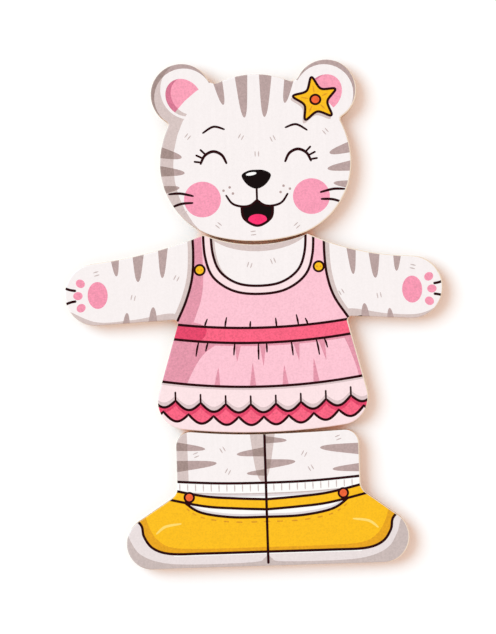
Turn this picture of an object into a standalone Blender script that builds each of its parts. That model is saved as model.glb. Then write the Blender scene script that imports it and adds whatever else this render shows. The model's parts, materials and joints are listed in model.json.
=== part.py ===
"""Wooden dress-up puzzle figure: loose head, torso and legs cut from printed three-ply board.

Metres, +Z up. The pieces lie flat with their printed faces up and +Y runs from the soles to the ears.
Each piece is three veneers with a glue line between them. The chin nests in the hollow of the neck,
and the hem nests in the hollow top of the legs. Outlines are drawn about the figure's centre line,
and the origin is under the middle of the whole figure.
"""

import math
from collections import namedtuple

import bmesh
import bpy
from mathutils import Vector

MM = 0.001

# Board
BOARD_THICKNESS = 5.0 * MM
FACE_VENEER = 1.5 * MM
BACK_VENEER = 1.5 * MM
GLUE_LINE = 0.05 * MM
EDGE_ROUND = 0.4 * MM
EDGE_ROUND_STEPS = 3
ARC_TOLERANCE = 0.02 * MM

# Gaps between the nested pieces: the neck closes on the chin towards the shoulder tips, and the right
# half of the legs' top is this many times flatter than the left, so it falls away from the hem
NECK_GAP = 1.05 * MM
NECK_TIP_GAP = 0.35 * MM
HEM_GAP = 0.6 * MM
RIGHT_TOP_FLATNESS = 2.5

# Head, measured up from the lowest point of the chin
CHIN_RADIUS = 52.0 * MM
JAW_RADIUS = 24.2 * MM
FACE_RADIUS = 30.7 * MM
FACE_HEIGHT = 24.1 * MM
DOME_RADIUS = 27.4 * MM
DOME_HEIGHT = 25.9 * MM
EAR_RADIUS = 9.8 * MM
EAR_SPREAD = 23.1 * MM
EAR_HEIGHT = 47.5 * MM
EAR_SIDE_FILLET = 1.2 * MM
EAR_CROWN_FILLET = 2.5 * MM

# Torso, measured up from the lowest point of the hem
TORSO_HEIGHT = 60.0 * MM
HEM_RADIUS = 200.0 * MM
HEM_HALF_WIDTH = 33.7 * MM
HEM_CORNER_RADIUS = 9.0 * MM
ARMPIT_FILLET = 1.2 * MM
SHOULDER_TIP_RADIUS = 1.0 * MM

# Arms, drawn freehand, so the two differ: how far the paw reaches from the centre line, the height
# of its middle, its radius, how far out the shoulder tip lies, the sweep from there to the paw,
# and the armpit's height and its distance from the centre line
LEFT_PAW_REACH = 62.3 * MM
LEFT_PAW_HEIGHT = 45.5 * MM
LEFT_PAW_RADIUS = 9.9 * MM
LEFT_SHOULDER_REACH = 18.2 * MM
LEFT_SWEEP_RADIUS = 150.0 * MM
LEFT_ARMPIT_HEIGHT = 36.7 * MM
LEFT_WAIST = 26.5 * MM
RIGHT_PAW_REACH = 58.5 * MM
RIGHT_PAW_HEIGHT = 44.9 * MM
RIGHT_PAW_RADIUS = 10.0 * MM
RIGHT_SHOULDER_REACH = 16.8 * MM
RIGHT_SWEEP_RADIUS = 84.0 * MM
RIGHT_ARMPIT_HEIGHT = 36.2 * MM
RIGHT_WAIST = 27.9 * MM

# Legs, measured up from the soles, with the side of each leg and the tip of each shoe out from the
# centre line: these two differ as well
LEGS_HEIGHT = 42.2 * MM
LEGS_CORNER_RADIUS = 4.5 * MM
ANKLE_HEIGHT = 26.0 * MM
ANKLE_FILLET = 4.5 * MM
TOE_RADIUS = 8.3 * MM
LEFT_LEG_SIDE = 28.3 * MM
LEFT_TOE_REACH = 45.0 * MM
RIGHT_LEG_SIDE = 30.3 * MM
RIGHT_TOE_REACH = 45.4 * MM

# Finishes: colour, roughness
HEAD_PRINT = ((0.92, 0.87, 0.86, 1.0), 0.55)
TORSO_PRINT = ((0.95, 0.52, 0.61, 1.0), 0.55)
LEGS_PRINT = ((0.98, 0.52, 0.02, 1.0), 0.55)
CORE_WOOD = ((0.72, 0.55, 0.37, 1.0), 0.7)
BACK_WOOD = ((0.80, 0.64, 0.45, 1.0), 0.65)

Arm = namedtuple("Arm", "reach height radius shoulder sweep armpit waist")
LEFT_ARM = Arm(
    reach=LEFT_PAW_REACH,
    height=LEFT_PAW_HEIGHT,
    radius=LEFT_PAW_RADIUS,
    shoulder=LEFT_SHOULDER_REACH,
    sweep=LEFT_SWEEP_RADIUS,
    armpit=LEFT_ARMPIT_HEIGHT,
    waist=LEFT_WAIST,
)
RIGHT_ARM = Arm(
    reach=RIGHT_PAW_REACH,
    height=RIGHT_PAW_HEIGHT,
    radius=RIGHT_PAW_RADIUS,
    shoulder=RIGHT_SHOULDER_REACH,
    sweep=RIGHT_SWEEP_RADIUS,
    armpit=RIGHT_ARMPIT_HEIGHT,
    waist=RIGHT_WAIST,
)

# A belt runs round these: a bulge keeps the circle on the wood side, a hollow on the outside
Pulley = namedtuple("Pulley", "x y radius turn")
BULGE = 1
HOLLOW = -1
SAME_POINT = 1e-7
FULL_TURN = 2 * math.pi
SMOOTH_ANGLE = math.radians(30)


def clear_scene():
    """Leaves an empty scene."""
    for obj in list(bpy.data.objects):
        bpy.data.objects.remove(obj)


def make_material(name, finish):
    """A plain surface of one colour and roughness."""
    colour, roughness = finish
    material = bpy.data.materials.new(name)
    material.use_nodes = True
    shader = material.node_tree.nodes["Principled BSDF"]
    shader.inputs["Base Color"].default_value = colour
    shader.inputs["Roughness"].default_value = roughness
    shader.inputs["Metallic"].default_value = 0.0
    material.diffuse_color = colour
    return material


def circles_meet(first, first_reach, second, second_reach, side):
    """The point at these distances from two pulleys' centres, on the left (1) or right (-1) of their line."""
    across, up = second.x - first.x, second.y - first.y
    span = math.hypot(across, up)
    along = (first_reach**2 - second_reach**2 + span**2) / (2 * span)
    aside = side * math.sqrt(first_reach**2 - along**2)
    x = first.x + (along * across - aside * up) / span
    y = first.y + (along * up + aside * across) / span
    return x, y


def hollow_between(first, second, radius, side):
    """A hollow of this radius that touches two bulges from outside."""
    x, y = circles_meet(first, first.radius + radius, second, second.radius + radius, side)
    return Pulley(x, y, radius, HOLLOW)


def bulge_inside(first, second, radius, side):
    """A bulge of this radius that touches two wider bulges from inside."""
    x, y = circles_meet(first, first.radius - radius, second, second.radius - radius, side)
    return Pulley(x, y, radius, BULGE)


def below_centre(circle, reach, x):
    """Height of the point at this distance from a circle's centre, under it, at this x."""
    return circle.y - math.sqrt(reach**2 - (x - circle.x) ** 2)


def mirrored(pulleys):
    """The same pulleys on the other side of the centre line, in the order that the belt meets them."""
    return [pulley._replace(x=-pulley.x) for pulley in reversed(pulleys)]


def straight_run(first, second):
    """Where the belt leaves one pulley and where it arrives at the next."""
    across, up = second.x - first.x, second.y - first.y
    first_side, second_side = first.turn * first.radius, second.turn * second.radius
    lean = (second_side - first_side) / math.hypot(across, up)
    heading = math.atan2(up, across) - math.asin(max(-1.0, min(1.0, lean)))
    left_x, left_y = -math.sin(heading), math.cos(heading)
    leaves = (first.x - left_x * first_side, first.y - left_y * first_side)
    arrives = (second.x - left_x * second_side, second.y - left_y * second_side)
    return leaves, arrives


def arc_points(pulley, arrives, leaves):
    """Points along the belt's wrap round one pulley, no further from the true arc than the tolerance."""
    start = math.atan2(arrives[1] - pulley.y, arrives[0] - pulley.x)
    end = math.atan2(leaves[1] - pulley.y, leaves[0] - pulley.x)
    sweep = (end - start) * pulley.turn % FULL_TURN
    longest = 2 * math.acos(1 - ARC_TOLERANCE / pulley.radius)
    steps = math.ceil(sweep / longest)
    angles = [start + pulley.turn * sweep * step / steps for step in range(steps + 1)]
    return [(pulley.x + pulley.radius * math.cos(a), pulley.y + pulley.radius * math.sin(a)) for a in angles]


def belt_outline(pulleys):
    """A closed outline, counter-clockwise, with no point doubled where two arcs touch."""
    runs = [straight_run(a, b) for a, b in zip(pulleys, pulleys[1:] + pulleys[:1])]
    outline = []
    for index, pulley in enumerate(pulleys):
        for point in arc_points(pulley, runs[index - 1][1], runs[index][0]):
            if not outline or math.dist(point, outline[-1]) > SAME_POINT:
                outline.append(point)
    if math.dist(outline[0], outline[-1]) <= SAME_POINT:
        outline.pop()
    return outline


def head_outline():
    """Round head with two ears; its flat chin is the arc that nests in the neck."""
    chin = Pulley(0, CHIN_RADIUS, CHIN_RADIUS, BULGE)
    face = Pulley(0, FACE_HEIGHT, FACE_RADIUS, BULGE)
    dome = Pulley(0, DOME_HEIGHT, DOME_RADIUS, BULGE)
    ear = Pulley(EAR_SPREAD, EAR_HEIGHT, EAR_RADIUS, BULGE)
    jaw = bulge_inside(chin, face, JAW_RADIUS, 1)
    ear_side = hollow_between(face, ear, EAR_SIDE_FILLET, -1)
    ear_crown = hollow_between(dome, ear, EAR_CROWN_FILLET, 1)
    right_side = [jaw, face, ear_side, ear, ear_crown]
    return belt_outline([chin] + right_side + [dome] + mirrored(right_side))


def neck_radius():
    """Radius of the hollow that keeps its gaps to the chin in the middle and at the wider shoulder tip."""
    half = max(LEFT_ARM.shoulder, RIGHT_ARM.shoulder)
    chin_rise = CHIN_RADIUS - math.sqrt(CHIN_RADIUS**2 - half**2)
    rise = chin_rise + NECK_GAP - NECK_TIP_GAP
    return (half**2 + rise**2) / (2 * rise)


def torso_side(arm, hem, neck):
    """The right-hand side of the dress from hem to neck, with this arm."""
    corner_x = HEM_HALF_WIDTH - HEM_CORNER_RADIUS
    corner_y = below_centre(hem, hem.radius - HEM_CORNER_RADIUS, corner_x)
    corner = Pulley(corner_x, corner_y, HEM_CORNER_RADIUS, BULGE)
    armpit = Pulley(arm.waist + ARMPIT_FILLET, arm.armpit - ARMPIT_FILLET, ARMPIT_FILLET, HOLLOW)
    paw = Pulley(arm.reach - arm.radius, arm.height, arm.radius, BULGE)
    tip_x = arm.shoulder - SHOULDER_TIP_RADIUS
    tip_y = below_centre(neck, neck.radius + SHOULDER_TIP_RADIUS, tip_x)
    tip = Pulley(tip_x, tip_y, SHOULDER_TIP_RADIUS, BULGE)
    sweep = hollow_between(paw, tip, arm.sweep, -1)
    return [corner, armpit, paw, sweep, tip]


def torso_outline():
    """Flared dress with outstretched arms, hollow at the neck and bowed at the hem."""
    hem = Pulley(0, HEM_RADIUS, HEM_RADIUS, BULGE)
    neck = Pulley(0, TORSO_HEIGHT + neck_radius(), neck_radius(), HOLLOW)
    right_side = torso_side(RIGHT_ARM, hem, neck)
    left_side = mirrored(torso_side(LEFT_ARM, hem, neck))
    return belt_outline([hem] + right_side + [neck] + left_side)


def leg_side(side, toe_reach, top):
    """The right-hand side of the legs from sole to top, with the leg and the toe out at these distances."""
    toe = Pulley(toe_reach - TOE_RADIUS, TOE_RADIUS, TOE_RADIUS, BULGE)
    ankle = Pulley(side + ANKLE_FILLET, ANKLE_HEIGHT, ANKLE_FILLET, HOLLOW)
    corner_x = side - LEGS_CORNER_RADIUS
    corner_y = below_centre(top, top.radius + LEGS_CORNER_RADIUS, corner_x)
    corner = Pulley(corner_x, corner_y, LEGS_CORNER_RADIUS, BULGE)
    return [toe, ankle, corner]


def legs_outline():
    """Two legs in one block on wide shoes, hollow along the top to take the hem."""
    left_radius = HEM_RADIUS + HEM_GAP
    right_radius = left_radius * RIGHT_TOP_FLATNESS
    left_top = Pulley(0, LEGS_HEIGHT + left_radius, left_radius, HOLLOW)
    right_top = Pulley(0, LEGS_HEIGHT + right_radius, right_radius, HOLLOW)
    right_side = leg_side(RIGHT_LEG_SIDE, RIGHT_TOE_REACH, right_top)
    left_side = mirrored(leg_side(LEFT_LEG_SIDE, LEFT_TOE_REACH, left_top))
    return belt_outline(right_side + [right_top, left_top] + left_side)


def flat_curve(name, outline, thickness):
    """A filled outline, as thick as one veneer."""
    curve = bpy.data.curves.new(name, "CURVE")
    curve.dimensions = "2D"
    curve.fill_mode = "BOTH"
    curve.extrude = thickness / 2
    spline = curve.splines.new("POLY")
    spline.points.add(len(outline) - 1)
    for point, (x, y) in zip(spline.points, outline):
        point.co = (x, y, 0, 1)
    spline.use_cyclic_u = True
    return bpy.data.objects.new(name, curve)


def solid_mesh(curve_object):
    """The curve as a closed mesh whose two caps are one face each."""
    bpy.context.scene.collection.objects.link(curve_object)
    graph = bpy.context.evaluated_depsgraph_get()
    mesh = bpy.data.meshes.new_from_object(curve_object.evaluated_get(graph))
    solid = bmesh.new()
    solid.from_mesh(mesh)
    bmesh.ops.remove_doubles(solid, verts=solid.verts, dist=SAME_POINT)
    for up in (1, -1):
        cap = [face for face in solid.faces if face.normal.z * up > 0.5]
        bmesh.ops.dissolve_faces(solid, faces=cap)
    solid.to_mesh(mesh)
    solid.free()
    bpy.data.objects.remove(curve_object)
    return mesh


def round_rim(veneer, up):
    """Sands the rim of one cap round: the upper one where up is 1, the lower one where it is -1."""
    solid = bmesh.new()
    solid.from_mesh(veneer.data)
    weight = solid.edges.layers.float.new("bevel_weight_edge")
    for edge in solid.edges:
        if all(vertex.co.z * up > 0 for vertex in edge.verts):
            edge[weight] = 1.0
    solid.to_mesh(veneer.data)
    solid.free()
    bevel = veneer.modifiers.new("Sanded rim", "BEVEL")
    bevel.limit_method = "WEIGHT"
    bevel.width = EDGE_ROUND
    bevel.segments = EDGE_ROUND_STEPS
    bevel.use_clamp_overlap = False


def make_veneer(name, outline, low, high, material, carrier, collection):
    """One veneer of a piece between two heights, carried by the piece's empty."""
    mesh = solid_mesh(flat_curve(name, outline, high - low))
    mesh.name = name
    mesh.materials.clear()
    mesh.materials.append(material)
    mesh.shade_smooth()
    mesh.set_sharp_from_angle(angle=SMOOTH_ANGLE)
    veneer = bpy.data.objects.new(name, mesh)
    veneer.location.z = (low + high) / 2
    veneer.parent = carrier
    collection.objects.link(veneer)
    return veneer


def make_piece(name, outline, base, print_finish, woods, collection):
    """A board cut to the outline: back, core and printed face veneers on one empty at the piece's base."""
    carrier = bpy.data.objects.new(name + "_carrier", None)
    carrier.location = base
    collection.objects.link(carrier)
    core_low = BACK_VENEER + GLUE_LINE
    core_high = BOARD_THICKNESS - FACE_VENEER - GLUE_LINE
    face_low = BOARD_THICKNESS - FACE_VENEER
    printed = make_material(name + "_print", print_finish)
    back = make_veneer(name + "_back_ply", outline, 0, BACK_VENEER, woods["back"], carrier, collection)
    make_veneer(name + "_core_ply", outline, core_low, core_high, woods["core"], carrier, collection)
    face = make_veneer(name + "_face_ply", outline, face_low, BOARD_THICKNESS, printed, carrier, collection)
    round_rim(back, -1)
    round_rim(face, 1)


def build_figure():
    """Stacks the three pieces along the centre line, with the middle of their box over the origin."""
    clear_scene()
    figure = bpy.data.collections.new("dress_up_puzzle")
    bpy.context.scene.collection.children.link(figure)
    woods = {"core": make_material("core_wood", CORE_WOOD), "back": make_material("back_wood", BACK_WOOD)}
    head_height = max(EAR_HEIGHT + EAR_RADIUS, DOME_HEIGHT + DOME_RADIUS)
    figure_height = LEGS_HEIGHT + HEM_GAP + TORSO_HEIGHT + NECK_GAP + head_height
    centre_line = (LEFT_ARM.reach - RIGHT_ARM.reach) / 2
    legs_base = Vector((centre_line, -figure_height / 2, 0))
    torso_base = legs_base + Vector((0, LEGS_HEIGHT + HEM_GAP, 0))
    head_base = torso_base + Vector((0, TORSO_HEIGHT + NECK_GAP, 0))
    make_piece("legs", legs_outline(), legs_base, LEGS_PRINT, woods, figure)
    make_piece("torso", torso_outline(), torso_base, TORSO_PRINT, woods, figure)
    make_piece("head", head_outline(), head_base, HEAD_PRINT, woods, figure)


build_figure()
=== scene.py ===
"""Looks of a wooden dress-up puzzle figure: plywood boards with a picture printed on each face.

A drawing is written in millimetres: x from the figure's centre line, y up from the lowest point of
its piece. Its shapes lie over each other like cut paper, in the order in which they are drawn.
"""

import json
import math

import bmesh
import bpy
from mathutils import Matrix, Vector
from mathutils.bvhtree import BVHTree
from mathutils.geometry import delaunay_2d_cdt

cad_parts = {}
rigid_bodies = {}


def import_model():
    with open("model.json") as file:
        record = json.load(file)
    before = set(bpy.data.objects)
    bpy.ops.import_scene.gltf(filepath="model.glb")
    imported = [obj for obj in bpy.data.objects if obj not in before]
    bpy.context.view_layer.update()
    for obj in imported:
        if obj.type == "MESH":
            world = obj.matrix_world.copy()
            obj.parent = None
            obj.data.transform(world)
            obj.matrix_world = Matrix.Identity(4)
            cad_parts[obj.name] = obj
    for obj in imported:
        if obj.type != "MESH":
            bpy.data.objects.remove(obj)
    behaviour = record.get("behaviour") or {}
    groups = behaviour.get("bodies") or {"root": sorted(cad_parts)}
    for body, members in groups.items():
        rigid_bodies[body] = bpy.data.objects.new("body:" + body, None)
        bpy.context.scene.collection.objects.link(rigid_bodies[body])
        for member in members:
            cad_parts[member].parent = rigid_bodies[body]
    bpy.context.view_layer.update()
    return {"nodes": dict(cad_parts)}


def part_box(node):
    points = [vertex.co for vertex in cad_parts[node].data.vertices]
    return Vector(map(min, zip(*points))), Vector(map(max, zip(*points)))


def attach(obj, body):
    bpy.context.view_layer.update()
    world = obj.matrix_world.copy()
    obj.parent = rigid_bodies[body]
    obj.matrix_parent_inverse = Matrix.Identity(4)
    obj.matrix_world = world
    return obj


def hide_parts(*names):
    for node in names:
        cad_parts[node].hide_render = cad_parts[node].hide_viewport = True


MM = 0.001
PIECES = ("head", "torso", "legs")
SIDES = (-1, 1)
DOWN = Vector((0, 0, -1))

# Camera: straight above, with the size of a photograph's pixel on the printed faces
PHOTO_HEIGHT = 634
PIXEL = 0.3192 * MM
CAMERA_DISTANCE = 0.85
CAMERA_CENTRE = (-2.15 * MM, -0.84 * MM)
CAMERA_ROLL = math.radians(-1.8)
SENSOR = 36.0

# Light: a warm fill from all round and a broad cool lamp at the upper left add up to white
FILL_LIGHT = (0.783, 0.618, 0.535)
LAMP_SHARE = (0.219, 0.378, 0.461)
LAMP_BREADTH = math.radians(48)
LAMP_AZIMUTH = math.radians(154)
LAMP_HEIGHT_ANGLE = math.radians(40)

# Paper: as white as the camera shows it. Where the boards shut its sky out, as in the gaps between them, it
# carries painted shade that goes dark brown, standing in for the shade there and the brown light from the cut
# edges, by the share of the sky that is left
FLOOR_SIZE = 3.0
PAPER = (0.9, 0.9, 0.9, 1)
FLOOR_GAIN = 1.105
PAINTED_SHADE_REACH = 6.0 * MM
PAINTED_SHADE_SAMPLES = 24
PAINTED_SLOT_SHADES = (0.045, (0.04, 0.01, 0.004)), (0.085, (1.4, 0.64, 0.36)), (0.38, (1, 1, 1))

# Print: the film, and how far each picture sits off the middle of its board, which bares a thin rim
INK_THICKNESS = 0.03 * MM
PRINT_SHIFTS = {"head": (-0.45, 0.2), "torso": (-0.4, -0.15), "legs": (-0.42, 0.1)}

# Ink: a speckle that is deeper in dark inks than in pale ones, as their green tells, and the veneer's
# fibres showing through. A noise has its own scale along each axis, per metre, and most of it lies within
# one range. A relief is a depth and a strength
NOISE_RANGE = (0.3, 0.7)
SPECKLE_SCALE = (1900, 1900, 1900)
PALE_SPECKLE = 0.012
DARK_SPECKLE = 0.2
SPECKLE_RISE = 1.5
FIBRE_SCALE = (900, 45, 900)
FIBRE_TONES = (0.985, 1.01)
INK_ROUGHNESS = (0.46, 0.6)
INK_SHINE = 0.3
LINE_SHINE = 0.05
INK_RELIEF = (0.05 * MM, 0.25)

# Wood: each veneer's tone where it is pale and where it is dark, the tint of its cut edges, and the noise
# scale of its grain. The figure, the fibres and the pores are each finer than that by a factor, and each
# leaves some share of the pale tone. A surface counts as cut by the square of its normal's rise
GRAIN_UP = (45, 3, 45)
GRAIN_ACROSS = (3, 45, 45)
WOODS = {
    "face": ((252, 240, 225), (230, 206, 176), (226, 188, 150), GRAIN_UP),
    "core": ((232, 208, 176), (190, 152, 110), (200, 156, 116), GRAIN_ACROSS),
    "back": ((246, 228, 202), (214, 180, 138), (222, 182, 142), GRAIN_UP),
}
FIGURE_FINENESS = 1.6
FIBRE_FINENESS = 14.0
PORE_FINENESS = 30.8
FIGURE_SHARES = (0.72, 1.0)
FIBRE_SHARES = (0.7, 1.0)
PORE_SHARES = (0.55, 1.0)
PORE_RANGE = (0.26, 0.38)
CUT_RANGE = (0.01, 0.08)
WOOD_ROUGHNESS = (0.72, 0.58)
WOOD_SHINE = 0.3
WOOD_RELIEF = (0.08 * MM, 0.35)
SHARP_ANGLE = math.radians(35)

# Lines: the width of each, how a pair of fur ticks lies, and how lines and fur stripes swell and end
LINE = 0.82
FINE_LINE = 0.68
LID_LINE = 0.95
BROW_LINE = 0.75
LASH_LINE = 0.65
CLIP_LINE = 0.8
ARM_LINE = 0.5
GATHER_LINE = 0.6
GLINT_LINE = 0.8
STITCH_LINE = 0.45
STITCH_START = 10
STITCH_STEP = 3
RIB_LINE = 0.4
TICK_LINE = 0.42
TICK_REACH = 0.75
TICK_APART = 0.55
LINE_SWELL = 0.6
CAP_SIDES = 10
STRIPE_END = 0.42
STRIPE_ROUNDING = 8
STAR_ARMS = 5
ARM_ANGLE = 360 / STAR_ARMS

# Dress: its landmarks on the torso, heights above the bowed hem, and a height below every board
LEFT_ARMPIT = (-26.5, 36.7)
RIGHT_ARMPIT = (27.9, 36.2)
HEM_BOW = 400.0
WAIST_TOP = 33.4
WAIST_LOW = 28.6
FLOUNCE_TOP = 14.6
FRILL_TOP = 9.0
FRILL_LOW = 5.0
HEM_HALF = 36.0
WAIST_HALF = 32
NECK_SHADE_STEPS = 26
SCALLOPS = 9
SCALLOP_WIDTH = 2 * HEM_HALF / SCALLOPS
SCALLOP_DIP = 2.6
BELOW = -3

# Cutting: corners closer than MERGE are one, and only triangles inside some outline are made. Heights in
# metres are told apart to some digits. A board's own outlines count as LIMIT and CREASE, below every shape
# of its drawing, and a shape that is SHADED or LIT changes the shade and keeps the ink
CURVE_STEPS = 8
HEM_STEPS = 144
MERGE = 0.002
TRIANGLES_INSIDE = 1
RIM_RINGS = 3
LEVEL_DIGITS = 7
LIMIT = -2
CREASE = -1
SHADED = "shaded"
LIT = "lit"

# Inks, as printed plain and in the drawn shade
INKS = {
    "fur": ((249, 242, 241), (214, 196, 192)),
    "bright": ((255, 254, 252), (226, 217, 219)),
    "stripe": ((184, 160, 157), (160, 137, 131)),
    "tick": ((204, 188, 185), (184, 165, 162)),
    "ear": ((250, 160, 183), (214, 117, 144)),
    "cheek": ((249, 156, 182), (223, 127, 155)),
    "pad": ((246, 150, 176), (222, 124, 152)),
    "dress": ((253, 196, 210), (227, 149, 168)),
    "trim": ((253, 228, 230), (221, 198, 199)),
    "band": ((249, 96, 127), (226, 63, 101)),
    "tongue": ((250, 40, 108), (214, 24, 84)),
    "yellow": ((252, 190, 0), (232, 163, 0)),
    "gold": ((224, 154, 14), (200, 132, 8)),
    "glint": ((255, 220, 110), (255, 206, 80)),
    "orange": ((240, 96, 44), (206, 72, 26)),
    "sole": ((234, 223, 222), (201, 185, 181)),
    "line": ((40, 3, 6), (40, 3, 6)),
    "black": ((17, 5, 5), (17, 5, 5)),
}


def linear(colour):
    """A colour from 0 to 255, as a screen shows it, in linear light."""
    shares = [value / 255 for value in colour]
    return tuple(s / 12.92 if s <= 0.04045 else ((s + 0.055) / 1.055) ** 2.4 for s in shares)


# Drawing tools

def flat(points):
    """Points as vectors in the plane."""
    return [Vector((x, y)) for x, y in points]


def mirror(points, side=-1):
    """The points on the other side of the centre line, or as they are where side is 1."""
    return [(x * side, y) for x, y in points]


def moved(points, across, up):
    """The points, all moved by the same way."""
    return [Vector(point) + Vector((across, up)) for point in points]


def smooth(points, closed=False):
    """A flowing curve through the points."""
    knots = flat(points)
    count = len(knots)
    curve = []
    for index in range(count if closed else count - 1):
        if closed:
            a, b, c, d = (knots[(index + step) % count] for step in (-1, 0, 1, 2))
        else:
            a, b, c, d = (knots[min(max(index + step, 0), count - 1)] for step in (-1, 0, 1, 2))
        for step in range(CURVE_STEPS):
            t = step / CURVE_STEPS
            bend = (2 * a - 5 * b + 4 * c - d) * t**2 + (3 * b - a - 3 * c + d) * t**3
            curve.append(b + 0.5 * ((c - a) * t + bend))
    return curve if closed else curve + knots[-1:]


def oval(x, y, across, up, turn=0, count=40):
    """An ellipse by its two radii, turned anticlockwise by some degrees."""
    turned = math.radians(turn)
    shape = []
    for step in range(count):
        angle = 2 * math.pi * step / count
        u, v = across * math.cos(angle), up * math.sin(angle)
        east = u * math.cos(turned) - v * math.sin(turned)
        north = u * math.sin(turned) + v * math.cos(turned)
        shape.append(Vector((x + east, y + north)))
    return shape


def wedge(root, tip, width, blunt=STRIPE_END):
    """A stripe that narrows from its root to a rounded end, by the share of its width that is left there."""
    start, end = flat([root, tip])
    across = (end - start).orthogonal().normalized() * width / 2
    one_side, other_side = [], []
    for step in range(CURVE_STEPS + 1):
        share = 1 - (1 - step / CURVE_STEPS) ** 2
        rounding = math.sqrt(1 - share**STRIPE_ROUNDING)
        half = across * ((1 - (1 - blunt) * share) * rounding)
        one_side.append(start.lerp(end, share) - half)
        other_side.append(start.lerp(end, share) + half)
    return one_side + other_side[-2::-1]


def star(x, y, outer, inner, turn):
    """A plump star."""
    knots = []
    for step in range(2 * STAR_ARMS):
        angle = math.radians(turn + ARM_ANGLE / 2 * step)
        reach = inner if step % 2 else outer
        knots.append((x + reach * math.cos(angle), y + reach * math.sin(angle)))
    return smooth(knots, closed=True)


def between(upper, lower):
    """The area between two lines that run the same way."""
    return list(lower) + list(upper)[::-1]


def brush(path, width, ends):
    """The quads and round caps of a line that keeps this share of its width at its ends."""
    path = flat(path)
    last = len(path) - 1
    left, right, halves = [], [], []
    for index, point in enumerate(path):
        along = (path[min(index + 1, last)] - path[max(index - 1, 0)]).normalized()
        swell = math.sin(math.pi * index / last) ** LINE_SWELL
        half = width / 2 * (ends + (1 - ends) * swell)
        across = Vector((-along.y, along.x)) * half
        left.append(point + across)
        right.append(point - across)
        halves.append(half)
    quads = [[right[i], right[i + 1], left[i + 1], left[i]] for i in range(last)]
    caps = [oval(*path[i], halves[i], halves[i], count=CAP_SIDES) for i in (0, last)]
    return quads + caps


class Drawing:
    """Shapes in the order in which they are laid on a board. Its rim is given as rings from the top down."""

    def __init__(self, rings, shift):
        self.board = rings[-1]
        self.creases = rings[:-1]
        self.limits = [self.board, moved(self.board, *shift)]
        self.shapes = []

    def fill(self, ink, *outlines):
        """Areas of one ink."""
        self.shapes.append((outlines, ink))

    def stroke(self, ink, path, width=LINE, ends=1.0):
        """A line along a path, which keeps a share of its width at its ends."""
        self.shapes.append((brush(path, width, ends), ink))

    def outlined(self, ink, outline, width=LINE):
        """An area with a line round it."""
        self.fill(ink, outline)
        self.stroke("line", outline + outline[:1], width)

    def shade(self, *outlines):
        """Puts what lies under these areas in shade."""
        self.shapes.append((outlines, SHADED))

    def lift(self, *outlines):
        """Takes the shade off what lies under these areas."""
        self.shapes.append((outlines, LIT))

    def dashes(self, ink, path, width):
        """A stitched line."""
        for start in range(0, len(path) - 1, STITCH_STEP):
            self.stroke(ink, path[start:start + 2], width)

    def stripes(self, *wedges):
        """Fur stripes: the root, the tip and the width of each."""
        self.fill("stripe", *(wedge(*one) for one in wedges))

    def ticks(self, *places):
        """Pairs of short fur marks: x, y and the way they lean."""
        for x, y, lean in places:
            angle = math.radians(lean)
            reach = Vector((math.cos(angle), math.sin(angle))) * TICK_REACH
            for apart in (-TICK_APART, TICK_APART):
                middle = Vector((x - apart * math.sin(angle), y + apart * math.cos(angle)))
                self.stroke("tick", [middle - reach, middle, middle + reach], TICK_LINE, ends=0.6)


# Head

def ear_lining(side):
    """The pink inside of one ear."""
    return oval(22.4 * side, 46.5, 5.4, 6.4, -38 * side)


def draw_ears(drawing):
    """Round ears behind the head, grey at the rim and pink inside."""
    for side in SIDES:
        drawing.fill("stripe", oval(23.1 * side, 47.5, 10.5, 10.5))
        drawing.fill("fur", oval(22.4 * side, 46.4, 9.4, 9.4))
        drawing.fill("ear", ear_lining(side))
    drawing.fill("fur", oval(0, 24.1, 31.4, 30.0))


def shade_head(drawing):
    """Shade down the left of the head, of each ear and of its lining."""
    drawing.shade(drawing.board)
    drawing.lift(oval(25.2, 49.0, 10.2, 10.2), oval(-20.2, 49.0, 9.6, 9.6))
    for side in SIDES:
        drawing.shade(ear_lining(side))
        drawing.lift(moved(ear_lining(side), 1.7, 0.5))
    drawing.lift(oval(4.2, 24.6, 30.6, 31.0))


def draw_head_stripes(drawing):
    """Stripes on the brow and at both sides of the face."""
    for side in SIDES:
        drawing.stripes(
            ((4.0 * side, 55), (3.2 * side, 39.5), 4.4),
            ((12.0 * side, 54), (9.8 * side, 43.8), 3.6),
            ((32.0 * side, 29.6), (23.6 * side, 27.4), 4.0),
            ((32.5 * side, 23.4), (22.8 * side, 22.4), 3.8),
            ((31.5 * side, 17.0), (24.6 * side, 17.8), 3.0),
        )


def draw_eye(drawing, side):
    """A closed smiling eye with three lashes, under a raised brow."""
    lid = [(9.4, 25.2), (10.8, 27.8), (13.5, 29.0), (16.2, 27.8), (17.6, 25.2)]
    brow = [(9.8, 36.0), (13.2, 36.9), (16.6, 35.0)]
    lashes = [(15.9, 28.0), (17.5, 29.6)], [(16.9, 26.9), (18.9, 27.9)], [(17.4, 25.6), (19.5, 25.9)]
    drawing.stroke("line", smooth(mirror(lid, side)), LID_LINE, ends=0.7)
    drawing.stroke("line", smooth(mirror(brow, side)), BROW_LINE, ends=0.7)
    for lash in lashes:
        drawing.stroke("line", mirror(lash, side), LASH_LINE)


def draw_mouth(drawing):
    """Two smiling lines under the nose and a small open mouth between them."""
    corner = (5.0, 11.2)
    middle = (0, 13.2)
    upper = smooth([middle, (2.2, 11.5), corner])
    lower = smooth([corner, (4.3, 7.3), (0, 4.9), (-4.3, 7.3), (-corner[0], corner[1])])
    opening = upper + lower + flat(mirror(upper))[::-1]
    drawing.fill("black", opening)
    drawing.fill("tongue", oval(0, 6.9, 3.0, 1.7))
    drawing.stroke("line", lower)
    for side in SIDES:
        smile = [middle, (2.2, 11.5), corner, (7.9, 12.2), (9.8, 14.8)]
        drawing.stroke("line", smooth(mirror(smile, side)), BROW_LINE, ends=0.8)
    drawing.stroke("line", [(0, 17.4), (0, 15.4), middle], FINE_LINE)


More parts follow.
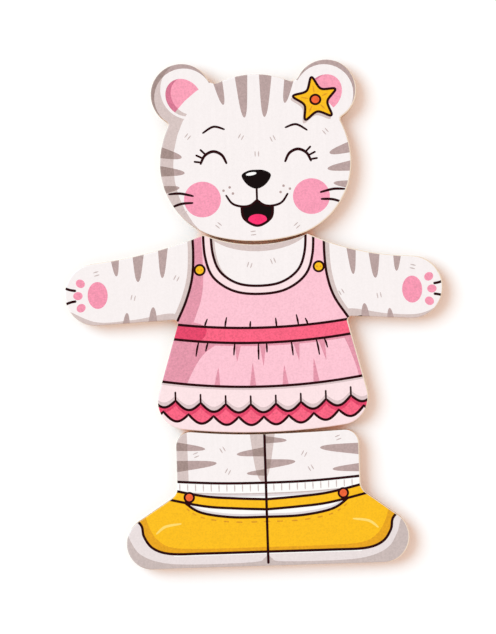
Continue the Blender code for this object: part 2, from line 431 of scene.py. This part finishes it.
def draw_nose(drawing):
    """A soft black triangle with a glint."""
    side = [(2.7, 22.5), (4.7, 21.0), (3.0, 18.1)]
    nose = [(0, 22.8)] + side + [(0, 16.7)] + mirror(side)[::-1]
    drawing.fill("black", smooth(nose, closed=True))
    drawing.fill("bright", oval(-1.6, 21.5, 1.7, 0.5, 8))


def draw_cheeks(drawing):
    """Round cheeks crossed by whiskers, with freckles beside the mouth."""
    whiskers = [(20.4, 15.0), (24.4, 15.9), (28.0, 15.8)], [(20.6, 12.8), (24.2, 12.6), (27.4, 11.5)]
    for side in SIDES:
        drawing.fill("cheek", oval(17.4 * side, 13.8, 5.9, 5.7))
        for whisker in whiskers:
            drawing.stroke("line", smooth(mirror(whisker, side)), ends=0.7)
        for x, y in ((8.6, 17.4), (10.6, 16.4), (7.6, 15.4)):
            drawing.fill("stripe", oval(x * side, y, 0.42, 0.42, count=12))


def draw_clip(drawing):
    """A yellow star in front of one ear."""
    x, y, outer, inner, turn = 19.6, 44.6, 7.2, 3.9, 98
    drawing.shade(star(x - 0.5, y - 0.9, outer + 0.3, inner + 0.3, turn))
    drawing.outlined("yellow", star(x, y, outer, inner, turn), CLIP_LINE)
    for arm in range(STAR_ARMS):
        angle = math.radians(turn + ARM_ANGLE * arm)
        way = Vector((math.cos(angle), math.sin(angle)))
        crease = [Vector((x, y)) + way * reach for reach in (2.4, 3.4, 4.4)]
        drawing.stroke("gold", crease, ARM_LINE, ends=0.4)
    drawing.outlined("orange", oval(x, y, 1.6, 1.5), FINE_LINE)


def draw_head(drawing):
    """The whole face, from the back to the front."""
    draw_ears(drawing)
    draw_head_stripes(drawing)
    shade_head(drawing)
    draw_cheeks(drawing)
    for side in SIDES:
        draw_eye(drawing, side)
    draw_mouth(drawing)
    draw_nose(drawing)
    draw_clip(drawing)
    drawing.ticks((-4.5, 33.4, 60), (5.6, 32.6, 115), (-21.5, 34.0, 50), (22.5, 34.4, 130), (-1.5, 2.6, 5))
    drawing.ticks((12.5, 4.6, 40), (-12.5, 5.4, 140), (0.4, 27.8, 90), (-23.5, 10.0, 45))


# Torso

def on_hem(x, above):
    """Height of a point at x, some way above the board's bowed hem."""
    return x * x / HEM_BOW + above


def along_hem(above, dip=0.0, shift=0.0, half=HEM_HALF):
    """A line that follows the hem at some height, scalloped downwards by a dip."""
    line = []
    for step in range(HEM_STEPS + 1):
        x = -half + 2 * half * step / HEM_STEPS
        wave = abs(math.sin(math.pi * (SCALLOPS * step / HEM_STEPS + shift)))
        line.append(Vector((x, on_hem(x, above) - dip * wave)))
    return line


def draw_paw(drawing, side, x, y):
    """A pad with three toes and the gaps between the claws."""
    drawing.fill("pad", oval(x, y, 3.2, 4.3))
    drawing.fill("pad", oval(x + 6.3 * side, y, 1.5, 1.3))
    for up in SIDES:
        drawing.fill("pad", oval(x + 5.4 * side, y + 3.9 * up, 1.5, 1.3, 35 * up * side))
        gap = [(x + 7.2 * side, y + 1.7 * up), (x + 8.8 * side, y + 2.0 * up), (x + 11 * side, y + 2.8 * up)]
        drawing.stroke("line", smooth(gap))


def draw_arms(drawing):
    """Stripes, paws and shade on both arms."""
    left_shade = [(-66, 43), (-60.5, 40.2), (-52, 36.7), (-40, 37.2), (-27, 38.5), (-27, 30), (-66, 30)]
    right_shade = [(66, 44), (57.0, 38.8), (50, 36.3), (40, 36.8), (27, 38.4), (27, 30), (66, 30)]
    drawing.shade(smooth(left_shade, closed=True), smooth(right_shade, closed=True))
    drawing.stripes(
        ((-30.5, 61.0), (-31.0, 50.2), 3.4),
        ((-38.5, 58.5), (-38.8, 49.2), 3.8),
        ((-46.0, 57.0), (-45.6, 51.2), 2.8),
        ((-34.5, 35.0), (-34.2, 41.0), 3.2),
        ((-43.0, 35.0), (-42.6, 39.4), 2.6),
    )
    drawing.stripes(
        ((29.4, 60.5), (30.0, 49.6), 3.4),
        ((36.8, 57.5), (37.0, 48.2), 3.8),
        ((44.2, 56.5), (43.8, 50.2), 2.8),
        ((33.5, 34.5), (33.2, 40.2), 3.2),
        ((41.5, 34.0), (41.2, 38.4), 2.6),
    )
    draw_paw(drawing, -1, -51.8, 45.3)
    draw_paw(drawing, 1, 48.6, 44.2)


def armhole(side, armpit):
    """The edge of the dress from the shoulder down to an armpit."""
    x, y = armpit
    return smooth(mirror([(21.2, 66), (20.9, 58), (21.5, 50), (23.6, 42.8)], side) + [(x, y - 0.2)])


def draw_dress(drawing):
    """A pinafore with wide straps and a round neck, shaded down one side."""
    neck = [(15.2, 66), (14.7, 57.6), (12.4, 51.6), (7.0, 47.8), (0, 46.8)]
    seam = [(17.6, 66), (17.2, 56.8), (14.7, 49.9), (8.3, 45.4), (0, 44.2)]
    left, right = armhole(-1, LEFT_ARMPIT), armhole(1, RIGHT_ARMPIT)
    scoop = smooth(mirror(neck) + neck[-2::-1])
    lower = smooth(mirror(seam) + seam[-2::-1])
    drawing.shade(between(left, moved(left, -1.7, 0.3)), between(right, moved(right, 1.7, 0.3)))
    skirt = flat([(-40, 33), (-40, BELOW), (40, BELOW), (40, 33)])
    drawing.fill("dress", left + skirt + right[::-1] + scoop[::-1])
    drawing.shade(left + smooth([(-22.6, 33), (-20.6, 38), (-18.6, 44), (-17.9, 52), (-18.4, 66)]))
    drawing.fill("trim", between(scoop, lower))
    shaded_edge = scoop[:NECK_SHADE_STEPS]
    drawing.shade(between(shaded_edge, moved(shaded_edge, 1.1, -0.3)))
    for edge in (right, left, scoop, lower):
        drawing.stroke("line", edge)
    for side in SIDES:
        x, y = 19.0 * side, 52.4
        drawing.outlined("yellow", oval(x, y, 1.6, 1.6), FINE_LINE)
        drawing.fill("gold", *(oval(x + apart, y, 0.3, 0.3, count=10) for apart in (-0.55, 0.55)))


def draw_waist(drawing):
    """A hot pink waistband, gathered above and below."""
    top, bottom = along_hem(WAIST_TOP, half=WAIST_HALF), along_hem(WAIST_LOW, half=WAIST_HALF)
    drawing.shade(between(bottom, along_hem(WAIST_LOW - 1, half=WAIST_HALF)))
    drawing.fill("band", between(top, bottom))
    drawing.shade(smooth([(-33, 37), (-19.5, 35.2), (-17.6, 32), (-21.5, 29.0), (-33, 28)], closed=True))
    for edge in (top, bottom):
        drawing.stroke("line", edge)
    for x, deep in ((-20, 4.6), (-17, 2.8), (-8.5, 3.8), (-1, 5.2), (1.6, 3), (9.5, 4.4), (17.5, 5), (20, 3)):
        low = on_hem(x, WAIST_LOW)
        gather = [(x, low), (x * 1.03, low - deep / 2), (x * 1.05, low - deep)]
        drawing.stroke("line", gather, FINE_LINE, ends=0.6)
    for x, high in ((-18, 2.4), (-11.5, 3.2), (-3.5, 2.0), (5.0, 2.8), (12.0, 3.4), (15.0, 2.0)):
        low = on_hem(x, WAIST_TOP)
        gather = [(x, low), (x * 0.98, low + high / 2), (x * 0.95, low + high)]
        drawing.stroke("line", gather, FINE_LINE, ends=0.6)


def draw_skirt(drawing):
    """A skirt shaded at its sides, with soft folds and two scalloped flounces."""
    left_edge = smooth([(-12.5, 29.5), (-18.5, 25.5), (-22.8, 19), (-25.8, 11), (-27.5, BELOW)])
    right_edge = smooth([(25.5, 31.5), (28.0, 26), (30.6, 18), (31.8, 10)])
    drawing.shade(left_edge + flat([(-40, BELOW), (-40, 29.5)]), right_edge + flat([(40, 10), (40, 31.5)]))
    for x, deep in ((-7.4, 6.0), (0.4, 7.4), (11.0, 6.4), (19.0, 7.0)):
        root, tip = (x, on_hem(x, WAIST_LOW + 0.4)), (x * 1.08, on_hem(x, WAIST_LOW - deep))
        drawing.shade(wedge(root, tip, 2.2, 0.1))
    for x, high in ((-14.0, 6.0), (-3.0, 7.6), (7.0, 6.6), (16.5, 8.0)):
        root, tip = (x * 1.05, on_hem(x, FLOUNCE_TOP - 1.6)), (x, on_hem(x, FLOUNCE_TOP + high))
        drawing.shade(wedge(root, tip, 2.4, 0.1))
    flounce, frill = along_hem(FLOUNCE_TOP), along_hem(FRILL_TOP, SCALLOP_DIP)
    edge = along_hem(FRILL_LOW, SCALLOP_DIP, shift=0.5)
    drawing.fill("band", between(flounce, along_hem(BELOW)))
    drawing.shade(between(frill, along_hem(FRILL_TOP - 1.6, SCALLOP_DIP)))
    drawing.fill("trim", between(edge, along_hem(BELOW)), between(flounce, frill))
    drawing.shade(between(along_hem(FRILL_TOP + 1.6, SCALLOP_DIP), frill))
    drawing.shade(between(flounce, along_hem(FLOUNCE_TOP - 1)))
    for line in (flounce, frill, edge):
        drawing.stroke("line", line)
    for step in range(SCALLOPS):
        x = SCALLOP_WIDTH * step - HEM_HALF
        low = on_hem(x, FRILL_TOP)
        drawing.stroke("line", [(x, low), (x, low + 1.3), (x, low + 2.6)], GATHER_LINE)


def draw_torso(drawing):
    """The neck's shade, the arms and the clothes."""
    drawing.shade(oval(0, 66.2, 17.0, 8.4))
    draw_arms(drawing)
    draw_dress(drawing)
    draw_skirt(drawing)
    draw_waist(drawing)
    drawing.ticks((-3.0, 53.5, 70), (4.5, 54.6, 110), (-26.5, 50.0, 60), (-52, 52.2, 15), (26.0, 44.0, 120))
    drawing.ticks((49.0, 51.4, 165), (-40.5, 44.2, 75), (38.0, 42.6, 100))


# Legs

def draw_shoe(drawing, side, spread):
    """A yellow strap shoe on a pale sole, pointing outwards. A wider spread leaves less shade on its toe."""
    vamp = [(28.4, 23.4), (26.4, 21.4), (21.0, 17.8), (11.0, 16.0), (0, 15.8)]
    edge = [(0, 4.7), (20, 4.7), (31, 4.9), (36.6, 6.8), (39.4, 10.6), (40.4, 14.6), (45.0, 18.4)]
    fold = [(0, 6.2), (18, 6.2), (30, 6.8), (35.0, 9.4), (37.6, 13.4), (39.0, 18.0)]
    light = [(0, 4.2), (1.2, 2.6), (4.4, 1.5), (22, 1.3), (32, 2.2), (38.4, 5.0), (41.4, 9.6), (42.8, 14)]
    glint = [(27.5, 14.4), (32.5, 13.6), (35.4, 11.4)]
    sole = flat(mirror([(0, BELOW), (50, BELOW), (50, 24), (36, 24), (30, 4), (0, 4)], side))
    strap = smooth(mirror([(0, 21.4), (10, 22.0), (20, 23.0), (33, 25.9)], side))
    under = moved(strap, 0, -3.2)
    sole_line, vamp_line = smooth(mirror(edge, side)), smooth(mirror(vamp, side))
    drawing.fill("sole", sole)
    drawing.shade(sole)
    lit_edge = smooth(mirror([(x * spread, y) for x, y in light + [(46, 19)]], side))
    drawing.lift(lit_edge + flat(mirror([(30, 12), (0, 12)], side)))
    drawing.shade(between(moved(vamp_line, 0, 1.1), vamp_line))
    drawing.fill("yellow", sole_line + flat(mirror([(38, 27)], side)) + vamp_line)
    drawing.shade(between(smooth(mirror(fold, side)), sole_line))
    drawing.dashes("gold", moved(vamp_line, 0, -1.5)[STITCH_START:], STITCH_LINE)
    drawing.stroke("glint", smooth(mirror(glint, side)), GLINT_LINE, ends=0.4)
    for line in (sole_line, vamp_line):
        drawing.stroke("line", line)
    drawing.fill("yellow", between(strap, under))
    for line in (strap, under):
        drawing.stroke("line", line)
    drawing.outlined("orange", oval(24.6 * side, 22.7, 1.5, 1.5), FINE_LINE)


def draw_socks(drawing):
    """White ribbed cuffs."""
    cuff = smooth([(-33, 28.2), (-16, 27.0), (0, 26.7), (16, 27.0), (33, 28.2)])
    fold = moved(cuff, 0, -3.4)
    drawing.fill("bright", cuff[::-1] + flat([(-33, BELOW), (33, BELOW)]))
    drawing.shade(between(fold, moved(fold, 0, -0.9)))
    drawing.stroke("line", cuff)
    drawing.stroke("tick", fold, RIB_LINE)
    ribs, apart, bow = 11, 2.5, 0.0012
    for step in range(-ribs, ribs + 1):
        x = apart * step
        y = 26.9 + bow * x * x
        drawing.stroke("tick", [(x, y - 0.7), (x, y - 1.6), (x, y - 2.8)], RIB_LINE, ends=0.6)


def draw_legs(drawing):
    """Striped legs in socks and shoes, with a line between them."""
    drawing.stripes(
        ((-31, 39.4), (-19.0, 38.0), 3.2),
        ((-31, 32.6), (-15.5, 33.4), 4.0),
        ((0, 36.6), (-9.0, 36.0), 3.0),
        ((0, 30.0), (-6.0, 29.8), 2.2),
        ((32, 36.6), (17.6, 37.4), 4.0),
        ((32, 30.8), (21.4, 30.4), 3.0),
        ((0, 32.6), (9.6, 33.2), 3.2),
        ((0, 40.4), (7.0, 40.0), 2.4),
    )
    drawing.shade(flat([(-31, 26), (-24.6, 26), (-24.8, 46), (-31, 46)]), wedge((-0.6, 46), (-1.0, 27), 9))
    draw_socks(drawing)
    draw_shoe(drawing, -1, 1.06)
    draw_shoe(drawing, 1, 1.0)
    drawing.stroke("line", [(0, 46), (0, 24), (0, 1.2)])
    drawing.ticks((-13.5, 37.6, 120), (-22.0, 36.2, 20), (-12.0, 30.6, 60))
    drawing.ticks((12.5, 35.6, 60), (14.5, 31.0, 120), (23.5, 40.4, 20))


# Materials

def new_material(name):
    """A material with its node tree, shader and texture coordinates."""
    material = bpy.data.materials.new(name)
    material.use_nodes = True
    tree = material.node_tree
    return material, tree, tree.nodes["Principled BSDF"], tree.nodes.new("ShaderNodeTexCoord").outputs


def stretched_noise(tree, place, scale, fineness=1.0, detail=3.0, rough=0.55):
    """Noise with its own scale along each axis, finer by a factor."""
    mapping = tree.nodes.new("ShaderNodeMapping")
    mapping.inputs["Scale"].default_value = [fineness * along for along in scale]
    noise = tree.nodes.new("ShaderNodeTexNoise")
    noise.inputs["Scale"].default_value = 1.0
    noise.inputs["Detail"].default_value = detail
    noise.inputs["Roughness"].default_value = rough
    tree.links.new(place["Object"], mapping.inputs["Vector"])
    tree.links.new(mapping.outputs["Vector"], noise.inputs["Vector"])
    return noise.outputs["Fac"]


def ranged(tree, value, wanted, given=NOISE_RANGE):
    """A value spread from the range that it is given in over a wanted one."""
    node = tree.nodes.new("ShaderNodeMapRange")
    for name, limit in zip(("From Min", "From Max", "To Min", "To Max"), (*given, *wanted)):
        node.inputs[name].default_value = limit
    tree.links.new(value, node.inputs["Value"])
    return node.outputs["Result"]


def product(tree, first, second):
    """Two values multiplied."""
    node = tree.nodes.new("ShaderNodeMath")
    node.operation = "MULTIPLY"
    tree.links.new(first, node.inputs[0])
    tree.links.new(second, node.inputs[1])
    return node.outputs["Value"]


def mixed(tree, share, blend_type="MIX"):
    """A mix of two colours by a share."""
    node = tree.nodes.new("ShaderNodeMix")
    node.data_type = "RGBA"
    node.blend_type = blend_type
    tree.links.new(share, node.inputs["Factor"])
    return node


def bump(tree, shader, height, relief):
    """Gives the surface a fine relief, by its depth and strength."""
    node = tree.nodes.new("ShaderNodeBump")
    node.inputs["Distance"].default_value, node.inputs["Strength"].default_value = relief
    tree.links.new(height, node.inputs["Height"])
    tree.links.new(node.outputs["Normal"], shader.inputs["Normal"])


def ink_material(name, colour, shine):
    """Satin ink on wood: a fine print grain, and the veneer's fibres just showing through."""
    material, tree, shader, place = new_material(name)
    _, green, _ = linear(colour)
    depth = PALE_SPECKLE + DARK_SPECKLE * (1 - green) ** SPECKLE_RISE
    speckle = stretched_noise(tree, place, SPECKLE_SCALE, detail=2.0)
    fibre = stretched_noise(tree, place, FIBRE_SCALE)
    tone = product(tree, ranged(tree, speckle, (1 - depth, 1 + depth)), ranged(tree, fibre, FIBRE_TONES))
    tint = tree.nodes.new("ShaderNodeVectorMath")
    tint.operation = "SCALE"
    tint.inputs[0].default_value = linear(colour)
    tree.links.new(tone, tint.inputs["Scale"])
    tree.links.new(tint.outputs["Vector"], shader.inputs["Base Color"])
    tree.links.new(ranged(tree, speckle, INK_ROUGHNESS), shader.inputs["Roughness"])
    shader.inputs["Specular IOR Level"].default_value = shine
    bump(tree, shader, product(tree, speckle, fibre), INK_RELIEF)
    return material


def wood_material(name, pale, dark, cut, grain):
    """Bare veneer: broad figure, fine fibres and dark pores along the grain, browner on its cut edges."""
    material, tree, shader, place = new_material(name)
    figure = stretched_noise(tree, place, grain, FIGURE_FINENESS, detail=4.0)
    fibre = stretched_noise(tree, place, grain, FIBRE_FINENESS, rough=0.65)
    pores = stretched_noise(tree, place, grain, PORE_FINENESS, detail=1.0)
    share = product(tree, ranged(tree, figure, FIGURE_SHARES), ranged(tree, fibre, FIBRE_SHARES))
    share = product(tree, share, ranged(tree, pores, PORE_SHARES, PORE_RANGE))
    blend = mixed(tree, share)
    blend.inputs["A"].default_value = (*linear(dark), 1)
    blend.inputs["B"].default_value = (*linear(pale), 1)
    upright = tree.nodes.new("ShaderNodeVectorMath")
    upright.operation = "DOT_PRODUCT"
    upright.inputs[1].default_value = (0, 0, 1)
    tree.links.new(place["Normal"], upright.inputs[0])
    level = product(tree, upright.outputs["Value"], upright.outputs["Value"])
    edge = mixed(tree, ranged(tree, level, (1.0, 0.0), CUT_RANGE), "MULTIPLY")
    edge.inputs["B"].default_value = (*linear(cut), 1)
    tree.links.new(blend.outputs["Result"], edge.inputs["A"])
    tree.links.new(edge.outputs["Result"], shader.inputs["Base Color"])
    tree.links.new(ranged(tree, fibre, WOOD_ROUGHNESS), shader.inputs["Roughness"])
    shader.inputs["Specular IOR Level"].default_value = WOOD_SHINE
    bump(tree, shader, fibre, WOOD_RELIEF)
    return material


def seen_by_camera(tree):
    """1 for what the camera sees, straight or in a mirror or glass, and 0 for light on a surface."""
    path = tree.nodes.new("ShaderNodeLightPath")
    seen = path.outputs["Is Camera Ray"]
    for ray in ("Is Glossy Ray", "Is Transmission Ray"):
        either = tree.nodes.new("ShaderNodeMath")
        either.operation = "MAXIMUM"
        tree.links.new(seen, either.inputs[0])
        tree.links.new(path.outputs[ray], either.inputs[1])
        seen = either.outputs["Value"]
    return seen


def floor_material():
    """White paper that keeps the shadow, and shows as white to the camera where it is lit. Where the boards
    shut its sky out, in the gaps between them, the camera sees it with painted shade that goes dark brown.
    """
    material = bpy.data.materials.new("white_paper")
    material.use_nodes = True
    tree = material.node_tree
    shader = tree.nodes["Principled BSDF"]
    colour = mixed(tree, seen_by_camera(tree))
    colour.inputs["A"].default_value = PAPER
    # Painted shade: how much sky is left near the boards sets a darker, browner paper, for the shade in the
    # gaps and the brown light off the cut edges
    open_sky = tree.nodes.new("ShaderNodeAmbientOcclusion")
    open_sky.inputs["Distance"].default_value = PAINTED_SHADE_REACH
    open_sky.samples = PAINTED_SHADE_SAMPLES
    ramp = tree.nodes.new("ShaderNodeValToRGB")
    stops = ramp.color_ramp.elements
    while len(stops) < len(PAINTED_SLOT_SHADES):
        stops.new(1.0)
    for stop, (sky, shade) in zip(stops, PAINTED_SLOT_SHADES):
        stop.position = sky
        stop.color = (*shade, 1)
    gain = tree.nodes.new("ShaderNodeVectorMath")
    gain.operation = "SCALE"
    gain.inputs["Scale"].default_value = FLOOR_GAIN
    tree.links.new(open_sky.outputs["AO"], ramp.inputs["Fac"])
    tree.links.new(ramp.outputs["Color"], gain.inputs[0])
    tree.links.new(gain.outputs["Vector"], colour.inputs["B"])
    tree.links.new(colour.outputs["Result"], shader.inputs["Base Color"])
    shader.inputs["Roughness"].default_value = 1.0
    shader.inputs["Specular IOR Level"].default_value = 0.0
    return material


# Pieces

def welded(mesh):
    """An editable copy of a mesh, with its faces joined where their corners meet."""
    shape = bmesh.new()
    shape.from_mesh(mesh)
    bmesh.ops.remove_doubles(shape, verts=shape.verts, dist=MERGE * MM)
    return shape


def rim_rings(mesh):
    """The edge of a face veneer's flat top, and the steps of its round rim below it, in metres."""
    veneer = welded(mesh)
    level = {vertex: round(vertex.co.z, LEVEL_DIGITS) for vertex in veneer.verts}
    follows = {height: {} for height in sorted(set(level.values()), reverse=True)[:RIM_RINGS]}
    for face in veneer.faces:
        for loop in face.loops:
            start, end, other = loop.vert, loop.link_loop_next.vert, loop.link_loop_prev.vert
            if level[start] == level[end] > level[other] and level[start] in follows:
                follows[level[start]][start] = end
    rings = []
    for steps in follows.values():
        first = min(steps, key=lambda vertex: tuple(vertex.co))
        ring = [first]
        while steps[ring[-1]] != first:
            ring.append(steps[ring[-1]])
        rings.append([vertex.co.xy for vertex in ring])
    veneer.free()
    return rings


def cut_out(drawing):
    """Cuts a board's face along every edge of its drawing: points, triangles and what shows in each."""
    layers = [(drawing.limits, LIMIT), (drawing.creases, CREASE)]
    layers += [(outlines, order) for order, (outlines, _) in enumerate(drawing.shapes)]
    points, faces, orders = [], [], []
    for outlines, order in layers:
        for outline in outlines:
            turn = sum(a.cross(b) for a, b in zip(outline, outline[1:] + outline[:1]))
            faces.append(list(range(len(points), len(points) + len(outline)))[:: 1 if turn > 0 else -1])
            points.extend(outline)
            orders.append(order)
    corners, _, triangles, _, _, inside = delaunay_2d_cdt(points, [], faces, TRIANGLES_INSIDE, MERGE, True)
    kept, inks = [], []
    for triangle, within in zip(triangles, inside):
        stack = [orders[face] for face in within]
        if stack.count(LIMIT) < len(drawing.limits):
            continue
        ink, shaded = "fur", False
        for order in sorted({order for order in stack if order > CREASE}):
            laid = drawing.shapes[order][1]
            shaded = laid == SHADED
            if laid not in (SHADED, LIT):
                ink = laid
        kept.append(triangle)
        inks.append((ink, shaded))
    return corners, kept, inks


def drape(corners, base, veneer, top):
    """Lays flat points on a veneer, one film thickness above it."""
    polygons = [tuple(polygon.vertices) for polygon in veneer.polygons]
    surface = BVHTree.FromPolygons([vertex.co for vertex in veneer.vertices], polygons)
    places = []
    for corner in corners:
        x, y = corner * MM + base
        hit = surface.ray_cast(Vector((x, y, top + MM)), DOWN)[0]
        places.append((x, y, (hit.z if hit else top) + INK_THICKNESS))
    return places


def drop_slivers(mesh):
    """Takes the triangles without any area out of a mesh, and the points that belong to none."""
    shape = bmesh.new()
    shape.from_mesh(mesh)
    bmesh.ops.dissolve_degenerate(shape, edges=shape.edges, dist=MERGE * MM)
    bmesh.ops.triangulate(shape, faces=shape.faces)
    loose = [vertex for vertex in shape.verts if not vertex.link_faces]
    bmesh.ops.delete(shape, geom=loose, context="VERTS")
    shape.to_mesh(mesh)
    shape.free()


def print_sheet(piece, draw):
    """A thin film of ink that covers a piece's face and wraps over its rim."""
    veneer = frame["nodes"][piece + "_face_ply"].data
    low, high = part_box(piece + "_face_ply")
    base = Vector((centre_line, low.y))
    rings = [[(point - base) / MM for point in ring] for ring in rim_rings(veneer)]
    drawing = Drawing(rings, PRINT_SHIFTS[piece])
    draw(drawing)
    corners, triangles, inks = cut_out(drawing)
    mesh = bpy.data.meshes.new(piece + "_print")
    mesh.from_pydata(drape(corners, base, veneer, high.z), [], triangles)
    used = sorted(set(inks))
    for ink in used:
        mesh.materials.append(printed[ink])
    for polygon, ink in zip(mesh.polygons, inks):
        polygon.material_index = used.index(ink)
    drop_slivers(mesh)
    sheet = bpy.data.objects.new(piece + "_print", mesh)
    bpy.context.scene.collection.objects.link(sheet)
    film = sheet.modifiers.new("Film", "SOLIDIFY")
    film.thickness = INK_THICKNESS
    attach(sheet, piece)


def smooth_veneer(node, body, material):
    """A veneer with its facets shaded as one round edge."""
    mesh = frame["nodes"][node].data.copy()
    mesh.name = node + "_wood"
    shape = welded(mesh)
    shape.normal_update()
    for face in shape.faces:
        face.smooth = True
    for edge in shape.edges:
        edge.smooth = edge.calc_face_angle(0) < SHARP_ANGLE
    shape.to_mesh(mesh)
    shape.free()
    mesh.attributes.remove(mesh.attributes["custom_normal"])
    mesh.materials.clear()
    mesh.materials.append(material)
    veneer = bpy.data.objects.new(node + "_wood", mesh)
    bpy.context.scene.collection.objects.link(veneer)
    veneer.modifiers.new("Flat faces", "WEIGHTED_NORMAL").keep_sharp = True
    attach(veneer, body)
    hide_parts(node)


def make_stage():
    """Paper, fill light and lamp."""
    bpy.ops.mesh.primitive_plane_add(size=FLOOR_SIZE)
    floor = bpy.context.object
    floor.name = "floor"
    floor.data.materials.append(floor_material())
    world = bpy.data.worlds.new("fill")
    world.use_nodes = True
    tree = world.node_tree
    colour = mixed(tree, seen_by_camera(tree))
    colour.inputs["A"].default_value = (*FILL_LIGHT, 1)
    colour.inputs["B"].default_value = (1, 1, 1, 1)
    tree.links.new(colour.outputs["Result"], tree.nodes["Background"].inputs["Color"])
    bpy.context.scene.world = world
    lamp = bpy.data.lights.new("lamp", "SUN")
    lamp.angle = LAMP_BREADTH
    lamp.color = LAMP_SHARE
    lamp.energy = math.pi / math.sin(LAMP_HEIGHT_ANGLE)
    holder = bpy.data.objects.new("lamp", lamp)
    away, height = math.cos(LAMP_HEIGHT_ANGLE), math.sin(LAMP_HEIGHT_ANGLE)
    holder.location = (away * math.cos(LAMP_AZIMUTH), away * math.sin(LAMP_AZIMUTH), height)
    holder.rotation_euler = (-holder.location).to_track_quat("-Z", "Y").to_euler()
    bpy.context.scene.collection.objects.link(holder)


def make_camera(top):
    """Looks straight down, at the photograph's scale and turn."""
    camera = bpy.data.cameras.new("camera")
    camera.sensor_fit = "VERTICAL"
    camera.sensor_height = SENSOR
    camera.lens = SENSOR * CAMERA_DISTANCE / (PHOTO_HEIGHT * PIXEL)
    holder = bpy.data.objects.new("camera", camera)
    holder.location = (*CAMERA_CENTRE, top + CAMERA_DISTANCE)
    holder.rotation_euler.z = CAMERA_ROLL
    bpy.context.scene.collection.objects.link(holder)
    bpy.context.scene.camera = holder


# Scene

for old in list(bpy.data.objects):
    bpy.data.objects.remove(old)
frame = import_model()
bpy.context.scene.view_settings.view_transform = "Standard"
head_low, head_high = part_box("head_face_ply")
centre_line = (head_low.x + head_high.x) / 2
printed = {}
for ink_name, (plain, shade) in INKS.items():
    shine = LINE_SHINE if ink_name in ("line", "black") else INK_SHINE
    printed[ink_name, False] = ink_material("ink_" + ink_name, plain, shine)
    printed[ink_name, True] = ink_material("ink_" + ink_name + "_shade", shade, shine)
woods = {ply: wood_material(ply + "_wood", *looks) for ply, looks in WOODS.items()}
for piece in PIECES:
    for ply, wood in woods.items():
        smooth_veneer(f"{piece}_{ply}_ply", piece, wood)
print_sheet("head", draw_head)
print_sheet("torso", draw_torso)
print_sheet("legs", draw_legs)
make_stage()
make_camera(head_high.z)
